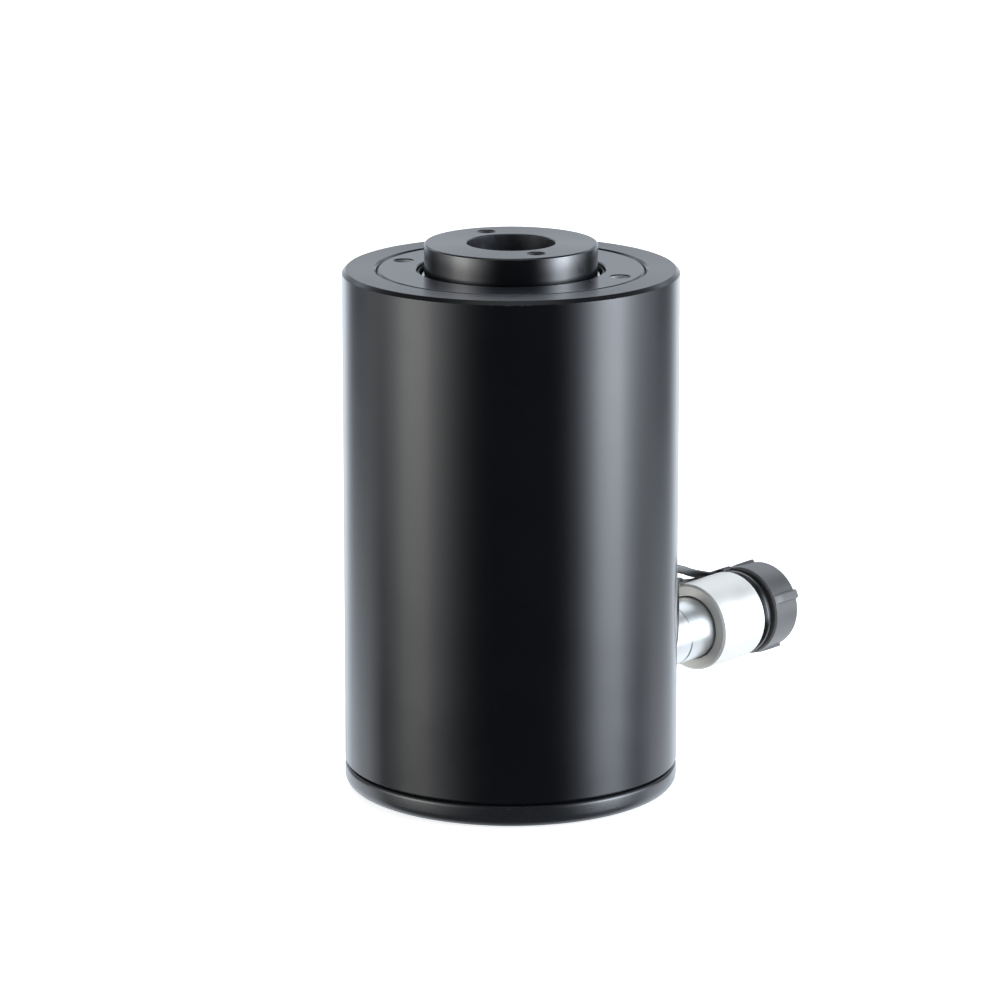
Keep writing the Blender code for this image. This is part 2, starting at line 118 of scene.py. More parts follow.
def build(name, verts, faces, sharp=32.0, merge=True):
    """A mesh object from points in millimetres in the row frame, faces outward."""
    me = bpy.data.meshes.new(name)
    me.from_pydata([tuple(c * MM for c in v) for v in verts], [], faces)
    bm = bmesh.new()
    bm.from_mesh(me)
    if merge:
        bmesh.ops.remove_doubles(bm, verts=bm.verts[:], dist=2e-7)
    bmesh.ops.recalc_face_normals(bm, faces=bm.faces[:])
    if bm.calc_volume(signed=True) < 0:
        bmesh.ops.reverse_faces(bm, faces=bm.faces[:])
    bm.to_mesh(me)
    bm.free()
    smooth(me, sharp)
    ob = bpy.data.objects.new(name, me)
    scene.collection.objects.link(ob)
    return ob


def smooth(me, sharp):
    me.shade_smooth()
    me.set_sharp_from_angle(angle=radians(sharp))


def upright(r, z, th):
    return (AXIS_X + r * cos(th), r * sin(th), z)


def along(r, t, th):
    """A point at radius r and distance t along the coupler, th from +Y to +Z."""
    return (AXIS_X + t, r * cos(th), COUPLER_Z + r * sin(th))


def lathe(name, points, seg=MID, closed=True, place=upright, shape=None, thetas=None,
          sharp=32.0, ready=False):
    profile = points if ready else rounded(points, closed)
    if thetas is None:
        thetas = [tau * k / seg for k in range(seg)]
    n, m = len(profile), len(thetas)
    verts = []
    for th in thetas:
        for r, z in profile:
            q = shape(r, z, th) if shape else r
            verts.append(place(q, z, th))
    faces = []
    spans = n if closed else n - 1
    for k in range(m):
        a, b = k * n, ((k + 1) % m) * n
        for j in range(spans):
            i = (j + 1) % n
            faces.append((a + j, b + j, b + i, a + i))
    return build(name, verts, faces, sharp)


def settle(ob, sharp=None):
    """Apply an object's modifiers to its mesh."""
    dg = bpy.context.evaluated_depsgraph_get()
    me = bpy.data.meshes.new_from_object(ob.evaluated_get(dg))
    ob.modifiers.clear()
    old = ob.data
    ob.data = me
    bpy.data.meshes.remove(old)
    me.name = ob.name
    if sharp is not None:
        smooth(me, sharp)
    return ob


def carve(ob, cutters, operation="DIFFERENCE", sharp=32.0):
    for cutter in cutters:
        mod = ob.modifiers.new(cutter.name, "BOOLEAN")
        mod.object = cutter
        mod.operation = operation
        mod.solver = "EXACT"
    settle(ob, sharp)
    for cutter in cutters:
        bpy.data.objects.remove(cutter, do_unlink=True)
    return ob


def hole(name, x, y, profile, seg=48, sides=None):
    """A closed cutter around a vertical axis at (x, y), in the cylinder's own axes."""
    def put(r, z, th):
        if sides:
            r = r * cos(pi / sides) / cos((th % (tau / sides)) - pi / sides)
        return (AXIS_X + x + r * cos(th), y + r * sin(th), z)
    return lathe(name, profile, seg if not sides else sides * 2, closed=False, place=put)


def polar(radius, deg):
    return radius * cos(radians(deg)), radius * sin(radians(deg))


def helix(mean, z0, z1, turns, end_pitch, per_turn):
    body = (z1 - z0 - 2 * end_pitch) / (turns - 2)
    points = []
    for k in range(int(turns * per_turn) + 1):
        t = k / per_turn
        if t <= 1:
            z = z0 + end_pitch * t
        elif t <= turns - 1:
            z = z0 + end_pitch + body * (t - 1)
        else:
            z = z0 + end_pitch + body * (turns - 2) + end_pitch * (t - turns + 1)
        points.append((mean, z, tau * t))
    return points


def coil(name, points, wire, sides, place, ground=None):
    """A wire wound through (radius, height, angle) points; the ends are capped flat, and ground
    between two heights only when ground is given.
    """
    verts, faces = [], []
    for r, z, th in points:
        for j in range(sides):
            a = tau * j / sides
            h = z + wire * sin(a)
            if ground:
                h = max(ground[0], min(ground[1], h))
            verts.append(place(r + wire * cos(a), h, th))
    m = len(points)
    for k in range(m - 1):
        for j in range(sides):
            i = (j + 1) % sides
            faces.append((k * sides + j, (k + 1) * sides + j,
                          (k + 1) * sides + i, k * sides + i))
    faces.append(tuple(range(sides)))
    faces.append(tuple((m - 1) * sides + j for j in reversed(range(sides))))
    return build(name, verts, faces, 40.0, merge=False)


def catmull(points, per_span, closed=False):
    out = []
    n = len(points)
    for k in range(n if closed else n - 1):
        if closed:
            p0, p1, p2, p3 = (points[(k + j - 1) % n] for j in range(4))
        else:
            p1, p2 = points[k], points[k + 1]
            p0 = points[k - 1] if k else p1 * 2 - p2
            p3 = points[k + 2] if k + 2 < n else p2 * 2 - p1
        for j in range(per_span):
            t = j / per_span
            out.append(0.5 * ((p1 * 2) + (p2 - p0) * t
                              + (p0 * 2 - p1 * 5 + p2 * 4 - p3) * t * t
                              + (p1 * 3 - p0 - p2 * 3 + p3) * t * t * t))
    if not closed:
        out.append(points[-1].copy())
    return out


def sweep(name, points, sections, lifts, closed=False):
    """Sweep sections, lists of (side, top) offsets, one per point of a line in mm;
    lifts gives the top direction at every point."""
    verts, faces = [], []
    n = len(points)
    m = len(sections[0])
    for k, p in enumerate(points):
        if closed:
            ahead = points[(k + 1) % n] - points[k - 1]
        else:
            ahead = points[min(k + 1, n - 1)] - points[max(k - 1, 0)]
        ahead.normalize()
        side = ahead.cross(lifts[k]).normalized()
        top = side.cross(ahead).normalized()
        for a, b in sections[k]:
            verts.append(tuple(p + side * a + top * b))
    for k in range(n if closed else n - 1):
        a, b = k * m, ((k + 1) % n) * m
        for j in range(m):
            i = (j + 1) % m
            faces.append((a + j, a + i, b + i, b + j))
    if not closed:
        faces.append(tuple(reversed(range(m))))
        faces.append(tuple((n - 1) * m + j for j in range(m)))
    return build(name, verts, faces, 40.0, merge=False)


def oval(half, thick, sides, power=2.0):
    """A closed section between an ellipse and a rounded box."""
    out = []
    for k in range(sides):
        c, s = cos(tau * k / sides), sin(tau * k / sides)
        e = 2.0 / power
        out.append((half * (1 if c >= 0 else -1) * abs(c) ** e,
                    thick * (1 if s >= 0 else -1) * abs(s) ** e))
    return out


# ============================================================================
# node materials
# ============================================================================
class Finish:
    """A Principled material whose detail comes from the object's own coordinates."""

    def __init__(self, name, axis="upright"):
        self.mat = bpy.data.materials.new(name)
        self.mat.use_nodes = True
        self.tree = self.mat.node_tree
        self.bsdf = self.tree.nodes["Principled BSDF"]
        coord = self.node("ShaderNodeTexCoord")
        self.object = coord.outputs["Object"]
        split = self.node("ShaderNodeSeparateXYZ")
        self.link(self.object, split.inputs[0])
        x, y, z = split.outputs
        if axis == "upright":
            self.h = z
            pair = (self.math("SUBTRACT", x, AX), y)
        else:
            self.h = self.math("SUBTRACT", x, AX)
            pair = (y, self.math("SUBTRACT", z, ZC))
        flat = self.node("ShaderNodeCombineXYZ")
        self.link(pair[0], flat.inputs[0])
        self.link(pair[1], flat.inputs[1])
        self.flat = flat.outputs[0]
        length = self.node("ShaderNodeVectorMath", operation="LENGTH")
        self.link(self.flat, length.inputs[0])
        self.r = length.outputs["Value"]
        self.s = self.math("ADD", self.r, self.h)
        self.angle = self.math("ARCTAN2", pair[1], pair[0])
        self.height = None

    def node(self, kind, **props):
        n = self.tree.nodes.new(kind)
        for k, v in props.items():
            setattr(n, k, v)
        return n

    def link(self, a, b):
        self.tree.links.new(a, b)

    def feed(self, value, socket):
        if isinstance(value, bpy.types.NodeSocket):
            self.link(value, socket)
        else:
            socket.default_value = value

    def math(self, op, a, b=0.0, clamp=False):
        n = self.node("ShaderNodeMath", operation=op, use_clamp=clamp)
        self.feed(a, n.inputs[0])
        self.feed(b, n.inputs[1])
        return n.outputs[0]

    def ramp(self, value, lo, hi, out0=0.0, out1=1.0, soft=True):
        n = self.node("ShaderNodeMapRange",
                      interpolation_type="SMOOTHSTEP" if soft else "LINEAR")
        self.feed(value, n.inputs["Value"])
        n.inputs["From Min"].default_value = lo
        n.inputs["From Max"].default_value = hi
        n.inputs["To Min"].default_value = out0
        n.inputs["To Max"].default_value = out1
        return n.outputs["Result"]

    def noise(self, scale, detail=3.0, rough=0.55, vector=None, distortion=0.0):
        n = self.node("ShaderNodeTexNoise", noise_dimensions="3D")
        self.feed(self.object if vector is None else vector, n.inputs["Vector"])
        n.inputs["Scale"].default_value = scale
        n.inputs["Detail"].default_value = detail
        n.inputs["Roughness"].default_value = rough
        n.inputs["Distortion"].default_value = distortion
        return n.outputs["Fac"] if "Fac" in n.outputs else n.outputs[0]

    def line(self, along_socket, scale, detail=4.0, rough=0.6):
        n = self.node("ShaderNodeTexNoise", noise_dimensions="1D")
        self.feed(along_socket, n.inputs["W"])
        n.inputs["Scale"].default_value = scale
        n.inputs["Detail"].default_value = detail
        n.inputs["Roughness"].default_value = rough
        return n.outputs["Fac"] if "Fac" in n.outputs else n.outputs[0]

    def stretched(self, sx, sy, sz):
        """Object coordinates scaled unevenly, for scratches with a direction."""
        n = self.node("ShaderNodeVectorMath", operation="MULTIPLY")
        self.link(self.object, n.inputs[0])
        n.inputs[1].default_value = (sx, sy, sz)
        return n.outputs[0]

    def around(self, stretch_angle, stretch_height):
        """(angle, height, radius) coordinates, so that marks run round the piece."""
        n = self.node("ShaderNodeCombineXYZ")
        self.link(self.math("MULTIPLY", self.angle, stretch_angle), n.inputs[0])
        self.link(self.math("MULTIPLY", self.h, stretch_height), n.inputs[1])
        self.link(self.math("MULTIPLY", self.r, stretch_height), n.inputs[2])
        return n.outputs[0]

    def mix(self, factor, a, b):
        n = self.node("ShaderNodeMix", data_type="RGBA")
        self.feed(factor, n.inputs[0])
        self.feed((*a, 1.0) if isinstance(a, tuple) else a, n.inputs[6])
        self.feed((*b, 1.0) if isinstance(b, tuple) else b, n.inputs[7])
        return n.outputs[2]

    def edge_mask(self, edges, width):
        """1 on the circles (radius, height) given in mm, fading to 0 over width mm."""
        point = self.node("ShaderNodeCombineXYZ")
        self.link(self.r, point.inputs[0])
        self.link(self.h, point.inputs[1])
        nearest = None
        for r, z in edges:
            n = self.node("ShaderNodeVectorMath", operation="DISTANCE")
            self.link(point.outputs[0], n.inputs[0])
            n.inputs[1].default_value = (r * MM, z * MM, 0.0)
            d = n.outputs["Value"]
            nearest = d if nearest is None else self.math("MINIMUM", nearest, d)
        return self.ramp(nearest, 0.0, width * MM, 1.0, 0.0)

    def bump(self, height, distance, strength=1.0):
        n = self.node("ShaderNodeBump")
        n.inputs["Strength"].default_value = strength
        n.inputs["Distance"].default_value = distance
        self.feed(height, n.inputs["Height"])
        if self.height is not None:
            self.link(self.height, n.inputs["Normal"])
        self.height = n.outputs["Normal"]

    def done(self, colour, rough, metallic=0.0, ior=1.5, **extra):
        self.feed(colour if isinstance(colour, bpy.types.NodeSocket) else (*colour, 1.0),
                  self.bsdf.inputs["Base Color"])
        self.feed(rough, self.bsdf.inputs["Roughness"])
        self.feed(metallic, self.bsdf.inputs["Metallic"])
        self.bsdf.inputs["IOR"].default_value = ior
        for k, v in extra.items():
            self.feed(v, self.bsdf.inputs[k.replace("_", " ")])
        if self.height is not None:
            self.link(self.height, self.bsdf.inputs["Normal"])
        return self.mat


def black_metal(name, edges, base=(0.0017, 0.0019, 0.0026), lift=(0.0030, 0.0033, 0.0042),
                rough=0.19, spread=0.03, axis="upright", worn=(0.10, 0.10, 0.105),
                wear=0.14, groove=1.0, ior=1.52, faced=None, faced_rough=0.27,
                streak=0.75):
    """Black anodised or oxidised metal, fine-turned, with a trace of wear on edges."""
    f = Finish(name, axis)
    cloud = f.noise(38.0, 4.0, 0.6)
    fine = f.line(f.s, 1400.0, 5.0, 0.7)
    colour = f.mix(cloud, base, lift)
    edge = f.edge_mask(edges, 0.45)
    chips = f.ramp(f.noise(420.0, 3.0, 0.6), 0.52, 0.70)
    worn_here = f.math("MULTIPLY", f.math("MULTIPLY", edge, chips), wear)
    colour = f.mix(worn_here, colour, worn)
    r1 = f.ramp(cloud, 0.3, 0.7, rough - spread * 0.5, rough + spread * 0.5)
    r3 = f.math("MULTIPLY", f.math("SUBTRACT", fine, 0.5), spread)
    if faced:
        top = f.ramp(f.h, (faced - 0.3) * MM, (faced - 0.05) * MM, 0.0, faced_rough - rough)
        r1 = f.math("ADD", r1, top)
    roughness = f.math("ADD", r1, r3, clamp=True)
    turned = f.node("ShaderNodeTangent", direction_type="RADIAL", axis="Z")
    f.link(turned.outputs[0], f.bsdf.inputs["Tangent"])
    f.bsdf.inputs["Anisotropic"].default_value = streak
    f.bsdf.inputs["Anisotropic Rotation"].default_value = 0.25
    f.bump(f.line(f.s, 2600.0, 3.0, 0.6), 0.0000014 * groove)
    f.bump(f.line(f.s, 520.0, 3.0, 0.6), 0.0000014 * groove)
    f.bump(f.noise(9000.0, 2.0, 0.6), 0.0000008)
    return f.done(colour, roughness, 0.0, ior)


def bright_metal(name, base, lift, rough, spread, axis="along", groove=1.0, edges=(),
                 stain=None, line_scale=1700.0, metal=1.0):
    """Plated or ground metal with turning marks, a faint bloom in the plating and a painted
    highlight along any given edges.
    """
    f = Finish(name, axis)
    cloud = f.noise(120.0, 4.0, 0.6)
    fine = f.line(f.s, line_scale, 5.0, 0.7)
    colour = f.mix(f.ramp(cloud, 0.3, 0.7), base, lift)
    if stain:
        spots = f.ramp(f.noise(300.0, 4.0, 0.7), 0.60, 0.75, 0.0, 0.35)
        colour = f.mix(spots, colour, stain)
    # painted highlight: the colour is lightened towards white along the given edges, where the
    # chamfers catch the light
    if edges:
        edge = f.edge_mask(edges, 0.4)
        colour = f.mix(f.math("MULTIPLY", edge, 0.35), colour, (0.92, 0.92, 0.93))
    r1 = f.ramp(cloud, 0.3, 0.7, rough - spread * 0.5, rough + spread * 0.5)
    r2 = f.math("MULTIPLY", f.math("SUBTRACT", fine, 0.5), spread)
    roughness = f.math("ADD", r1, r2, clamp=True)
    f.bump(fine, 0.000004 * groove)
    f.bump(f.noise(6000.0, 2.0, 0.6), 0.0000012)
    return f.done(colour, roughness, metal, 1.5)


def moulded(name, base, lift, rough, spread, grain, depth, axis="along", ior=1.48,
            edges=(), worn=None, **extra):
    """Moulded plastic or rubber: fine grain, slight mottling, burnished edges."""
    f = Finish(name, axis)
    cloud = f.noise(90.0, 4.0, 0.6)
    speck = f.noise(2600.0, 2.0, 0.5)
    colour = f.mix(f.ramp(cloud, 0.25, 0.75), base, lift)
    colour = f.mix(f.ramp(speck, 0.35, 0.75, 0.0, 0.22), colour, lift)
    if edges and worn:
        edge = f.math("MULTIPLY", f.edge_mask(edges, 0.6),
                      f.ramp(f.noise(500.0, 3.0, 0.6), 0.4, 0.7, 0.0, 0.5))
        colour = f.mix(edge, colour, worn)
    r1 = f.ramp(cloud, 0.3, 0.7, rough - spread * 0.5, rough + spread * 0.5)
    r2 = f.math("MULTIPLY", f.math("SUBTRACT", speck, 0.5), spread * 0.6)
    roughness = f.math("ADD", r1, r2, clamp=True)
    f.bump(f.noise(grain, 3.0, 0.6), depth)
    f.bump(f.noise(grain * 0.22, 3.0, 0.6), depth * 1.5)
    return f.done(colour, roughness, 0.0, ior, **extra)


M = {}
M["body"] = black_metal(
    "body_black_anodised",
    [(65, 203.5), (63.5, 205), (52.9, 205)], rough=0.20, groove=0.8, faced=205.0,
    faced_rough=0.25)
M["base"] = black_metal("base_black_oxide", [(65, 7.8), (61.5, 0.0)],
                        base=(0.006, 0.0065, 0.0075), lift=(0.010, 0.0105, 0.0122),
                        rough=0.27, groove=0.8, ior=1.6)
M["ring"] = black_metal("stop_ring_black_oxide", [(50.8, 204.8), (36.8, 204.8)],
                        base=(0.019, 0.021, 0.026), lift=(0.025, 0.0275, 0.034),
                        rough=0.22, groove=1.0, faced=204.8, faced_rough=0.18)
M["saddle"] = black_metal(
    "saddle_black_oxide", [(33.4, 214.4), (32.8, 215.0), (17.3, 215.0)],
    rough=0.22, groove=1.4, faced=215.0, ior=1.8)
M["screw"] = black_metal("screw_black_oxide", [(200, 200)],
                         base=(0.011, 0.011, 0.012), lift=(0.02, 0.02, 0.021),
                         rough=0.36, wear=0.0, groove=1.5)
M["bare"] = bright_metal("drilled_steel", (0.50, 0.51, 0.53), (0.62, 0.63, 0.65), 0.42,
                         0.10, axis="upright", groove=1.0, stain=(0.22, 0.21, 0.20),
                         metal=0.3)
M["dark_wall"] = bright_metal("drilled_oxide", (0.10, 0.10, 0.11), (0.16, 0.16, 0.17), 0.40,
                              0.10, axis="upright", groove=1.0, stain=(0.05, 0.05, 0.05),
                              metal=0.3)
M["bore"] = bright_metal("bore_oxide", (0.034, 0.035, 0.039), (0.055, 0.056, 0.062), 0.38,
                         0.10, axis="upright", groove=1.0, stain=(0.03, 0.03, 0.03),
                         metal=0.5)
# the edges listed for the plated pieces below carry a painted highlight
M["zinc"] = bright_metal("zinc_plate", (0.60, 0.605, 0.61), (0.68, 0.685, 0.69), 0.36,
                         0.08, edges=[(13.9, 64.9), (13.9, 70.6)])
M["sleeve"] = bright_metal("sleeve_zinc_plate", (0.70, 0.69, 0.65),
                           (0.75, 0.74, 0.697), 0.50, 0.08, metal=0.72,
                           edges=[(17.9, 115.1), (17.9, 140.9)])
M["nickel"] = bright_metal("nickel_plate", (0.64, 0.65, 0.64), (0.71, 0.718, 0.705), 0.34,
                           0.06, metal=0.9, edges=[(13.9, 73.4), (13.9, 78.8), (12.7, 135.4)])
M["chrome"] = bright_metal("hard_chrome", (0.44, 0.45, 0.47), (0.49, 0.50, 0.52), 0.17,
                           0.02, axis="upright", groove=0.5)
M["ground"] = bright_metal("ground_steel", (0.44, 0.445, 0.46), (0.55, 0.555, 0.57),
                           0.26, 0.10, axis="upright", groove=1.2,
                           stain=(0.30, 0.29, 0.27))
M["bronze"] = bright_metal("bearing_bronze", (0.42, 0.265, 0.105), (0.54, 0.36, 0.16),
                           0.34, 0.10, axis="upright", groove=1.4,
                           stain=(0.20, 0.12, 0.05))
M["spring"] = bright_metal("spring_steel", (0.075, 0.076, 0.082), (0.14, 0.14, 0.148),
                           0.38, 0.12, axis="upright", groove=0.6,
                           stain=(0.05, 0.045, 0.04))
M["wire"] = bright_metal("stainless_wire", (0.42, 0.41, 0.40), (0.56, 0.55, 0.53),
                         0.28, 0.10, groove=0.4)
M["urethane"] = moulded("red_urethane", (0.28, 0.022, 0.014), (0.40, 0.045, 0.026), 0.38,
                        0.08, 1800.0, 0.000004, axis="upright",
                        Subsurface_Weight=0.08)
M["ptfe"] = moulded("white_ptfe", (0.70, 0.69, 0.65), (0.80, 0.79, 0.76), 0.45, 0.08,
                    2400.0, 0.000003, axis="upright", Subsurface_Weight=0.1)
M["nitrile"] = moulded("black_nitrile", (0.010, 0.010, 0.0105), (0.018, 0.018, 0.0185),
                       0.48, 0.10, 3200.0, 0.000006)
M["wiper"] = moulded("wiper_rubber", (0.008, 0.008, 0.0085), (0.016, 0.016, 0.0165),
                     0.42, 0.10, 3000.0, 0.000006, axis="upright")
M["cap"] = moulded("cap_grey_plastic", (0.064, 0.063, 0.062), (0.078, 0.077, 0.076), 0.36,
                   0.06, 2600.0, 0.000008, edges=[(17.6, 148.6), (18.2, 149.3)],
                   worn=(0.12, 0.12, 0.125))
M["cap_ring"] = moulded("ring_black_rubber", (0.0035, 0.0036, 0.004),
                        (0.0060, 0.0062, 0.0068), 0.27, 0.05, 3000.0, 0.000003)
M["strap"] = moulded("strap_black_rubber", (0.006, 0.006, 0.0065), (0.011, 0.011, 0.0118),
                     0.40, 0.08, 3000.0, 0.000006)


# ============================================================================
# pieces
# ============================================================================
def put(ob, body, mat, slot, *nodes):
    """Give a finished piece its material and its body, and hide the CAD nodes it stands for;
    slot is not used.
    """
    ob.data.materials.clear()
    ob.data.materials.append(M[mat])
    if body:
        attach(ob, body)
    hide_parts(*(nodes or (ob.name.replace("_shape", ""),)))
    return ob


def walls(ob, centres, radius, below, mat, deep=8.0):
    """Give the faces inside upright holes their own finish."""
    ob.data.materials.append(M[mat])
    slot = len(ob.data.materials) - 1
    for poly in ob.data.polygons:
        c = poly.center
        for x, y in centres:
            if (c.z < below * MM and hypot(c.x - AX - x * MM, c.y - y * MM) < radius * MM
                    and c.z > (below - deep) * MM):
                poly.material_index = slot


# ---- base plate and its screws ---------------------------------------------
SCREW_R = 48.0
SCREWS = [45.0, 135.0, 225.0, 315.0]

plate = lathe("base_plate_shape", [
    (17.6, 0.0, 0.25), (65.0, 0.0, 4.5), (65.0, 8.8, 1.1),
    (17.0, 8.8, 0.15), (17.0, 0.6, 0.15)], BIG)
cutters = []
for k, a in enumerate(SCREWS):
    x, y = polar(SCREW_R, a)
    cutters.append(hole(f"plate_hole_{k}", x, y, [
        (0, -1), (6.5, -1), (6.1, 0.0), (5.8, 0.3), (5.8, 4.6), (3.4, 4.6), (3.4, 8.5),
        (3.7, 8.8), (4.0, 9.6), (0, 9.6)]))
carve(plate, cutters)
put(plate, "root", "base", "base_plate")

for k, a in enumerate(SCREWS):
    x, y = polar(SCREW_R, a)

    def at(r, z, th, x=x, y=y):
        return (AXIS_X + x + r * cos(th), y + r * sin(th), z)

    def knurled(r, z, th):
        return r - (0.12 * (0.5 + 0.5 * cos(36 * th)) if r > 4.9 and 1.2 < z < 4.0 else 0)

    # rolled thread on the shank, below the plain part
    rows = [(0.0, 0.6), (4.3, 0.6, 0.1), (4.75, 0.75, 0.15), (5.0, 1.1, 0.1), (5.0, 1.3),
            (5.0, 3.9), (5.0, 4.3, 0.12), (3.0, 4.3, 0.2), (3.0, 10.0)]
    profile = rounded(rows, closed=False)
    profile += [(3.0, 10.0 + 0.25 * j) for j in range(1, 37)]
    profile += [(2.5, 19.7), (2.3, 20.0), (0.0, 20.0)]

    def thread(r, z, th):
        if 10.4 < z < 19.4 and r > 2.9:
            u = (z - 10.0 - th / tau) % 1.0
            fade = min(1.0, (z - 10.4) / 0.8)
            return r - 0.5 * fade * (1.0 - abs(2 * u - 1.0))
        return knurled(r, z, th)

    screw = lathe(f"base_screw_{k + 1}_shape", profile, 144, closed=False, place=at,
                  shape=thread, ready=True)
    key = hole("key", x, y, [(0, -1), (3.2, -1), (3.2, 0.55), (2.9, 0.85), (2.9, 2.9),
                             (0, 3.4)], sides=6)
    carve(screw, [key])
    put(screw, "root", "screw", "screws")

# ---- body -------------------------------------------------------------------
body = lathe("cylinder_body_shape", [
    (26.3, 9.1, 0.2), (63.8, 9.1, 0.15), (65.0, 10.3, 0.15), (65.0, 203.5, 0.12),
    (63.5, 205.0, 0.12), (52.9, 205.0, 0.12), (52.0, 204.1, 0.12), (52.0, 178.0),
    (45.0, 178.0, 0.3), (45.0, 27.0, 1.0), (22.3, 27.0, 0.2), (22.3, 14.3, 0.1),
    (26.3, 14.3, 0.1)], BIG)
cutters = []
for k, a in enumerate(SCREWS):
    x, y = polar(SCREW_R, a)
    cutters.append(hole(f"body_hole_{k}", x, y, [
        (0, 8.0), (4.0, 8.0), (3.9, 9.1), (3.3, 9.7), (3.3, 21.0), (0.0, 22.6)], 40))
cutters.append(lathe("port_hole", [
    (0.0, 40.0), (3.0, 40.0), (3.0, 50.5), (9.0, 50.5), (9.0, 63.1), (9.5, 63.6),
    (14.8, 63.6), (15.0, 63.8), (15.0, 70.0), (0.0, 70.0)], 96, closed=False,
    place=along))
carve(body, cutters)
put(body, "root", "body", "cylinder_body")

# ---- fixed inner tube ---------------------------------------------------------
put(lathe("centre_tube_shape", [
    (17.0, 9.1, 0.2), (26.0, 9.1, 0.2), (26.0, 14.0, 0.2), (22.0, 14.0, 0.2),
    (22.0, 18.5, 0.1), (20.2, 18.5, 0.1), (20.2, 22.0, 0.1), (22.0, 22.0, 0.1),
    (22.0, 191.2, 0.2), (21.0, 192.2, 0.2), (17.6, 192.2, 0.15), (17.0, 191.6, 0.15)],
    MID), "root", "chrome", "centre_tube")
put(lathe("centre_tube_oring_shape",
          [(21.25 + 0.72 * cos(tau * k / 16), 20.25 + 0.72 * sin(tau * k / 16))
           for k in range(16)], MID, ready=True), "root", "nitrile", "nitrile")

# ---- stop ring, its bush, the wiper and the stop sleeve ---------------------------
TOP = 204.8
ring = lathe("stop_ring_shape", [
    (35.5, 178.3), (51.7, 178.3, 0.2), (51.7, 203.9, 0.12), (50.8, TOP, 0.15),
    (36.8, TOP, 0.1), (36.4, TOP - 0.4, 0.1), (36.4, 202.6, 0.05), (39.2, 202.6),
    (39.2, 198.4), (35.5, 198.4, 0.1), (35.5, 193.0, 0.1), (37.4, 193.0),
    (37.4, 183.0), (35.5, 183.0, 0.1)], BIG)
cutters = []
for k, a in enumerate((109.2, 289.2)):
    x, y = polar(44.5, a)
    cutters.append(hole(f"ring_pin_{k}", x, y, [
        (0, TOP - 6.6), (3.55, TOP - 6.0), (3.75, TOP - 5.8), (3.75, TOP - 0.45),
        (4.2, TOP), (4.2, TOP + 1), (0, TOP + 1)], 64))
carve(ring, cutters)
put(ring, "root", "ring", "stop_ring")
walls(ring, [polar(44.5, a) for a in (109.2, 289.2)], 4.0, TOP - 0.44, "bare")
put(lathe("stop_ring_bearing_shape", [
    (35.3, 183.3, 0.2), (37.1, 183.3, 0.2), (37.1, 192.7, 0.2), (35.3, 192.7, 0.2)],
    MID), "root", "bronze", "bronze")
put(lathe("rod_wiper_shape", [
    (35.3, 198.7, 0.15), (38.9, 198.7, 0.2), (38.9, 202.3, 0.2), (36.3, 202.3, 0.15),
    (36.0, 203.6, 0.2), (35.3, 203.9, 0.08), (35.8, 201.0, 0.5)], BIG),
    "root", "wiper", "wiper_rubber")
put(lathe("stop_sleeve_shape", [
    (43.1, 116.3, 0.3), (44.7, 116.3, 0.3), (44.7, 178.0, 0.3), (43.1, 178.0, 0.3)],
    MID), "root", "ground", "ground_steel")

# ---- plunger group --------------------------------------------------------------
put(lathe("plunger_shape", [
    (23.1, 27.6, 0.2), (40.5, 27.6, 0.3), (41.0, 28.1, 0.2), (41.0, 42.0, 0.3),
    (44.7, 42.0, 0.3), (44.7, 45.0, 0.1), (39.5, 45.0, 0.2), (39.5, 55.0, 0.2),
    (44.7, 55.0, 0.1), (44.7, 57.5, 0.1), (42.4, 57.5, 0.1), (42.4, 63.5, 0.1),
    (44.7, 63.5, 0.1), (44.7, 66.0, 0.3), (35.0, 66.0, 0.8), (35.0, 201.7, 0.3),
    (34.2, 202.5, 0.2), (27.0, 202.5, 0.3), (27.0, 192.5, 0.2), (22.3, 192.5, 0.2),
    (22.3, 55.0, 0.1), (26.5, 55.0, 0.2), (26.5, 45.0, 0.2), (22.3, 45.0, 0.1),
    (22.3, 41.0, 0.1), (24.3, 41.0, 0.1), (24.3, 31.0, 0.1), (22.3, 31.0, 0.1),
    (22.3, 28.4, 0.2)], BIG), "plunger_group", "chrome", "plunger")
put(lathe("piston_seal_shape", [
    (40.9, 45.4, 0.2), (44.3, 45.4, 0.15), (44.7, 46.2, 0.3), (44.7, 51.9, 0.3),
    (39.8, 51.9, 0.3), (39.8, 46.2, 0.4)], MID), "plunger_group", "urethane", "urethane")
put(lathe("piston_backup_ring_shape", [
    (39.8, 52.2, 0.2), (44.7, 52.2, 0.2), (44.7, 54.7, 0.2), (39.8, 54.7, 0.2)],
    MID), "plunger_group", "ptfe", "ptfe")
put(lathe("piston_bearing_shape", [
    (42.7, 57.8, 0.2), (44.7, 57.8, 0.2), (44.7, 63.2, 0.2), (42.7, 63.2, 0.2)],
    MID), "plunger_group", "bronze", "bronze")
put(lathe("inner_seal_shape", [
    (22.3, 45.3, 0.3), (26.2, 45.3, 0.4), (26.2, 54.7, 0.4), (22.3, 54.7, 0.3)],
    MID), "plunger_group", "urethane", "urethane")
put(lathe("inner_bearing_shape", [
    (22.3, 31.3, 0.2), (24.0, 31.3, 0.2), (24.0, 40.7, 0.2), (22.3, 40.7, 0.2)],
    MID), "plunger_group", "bronze", "bronze")

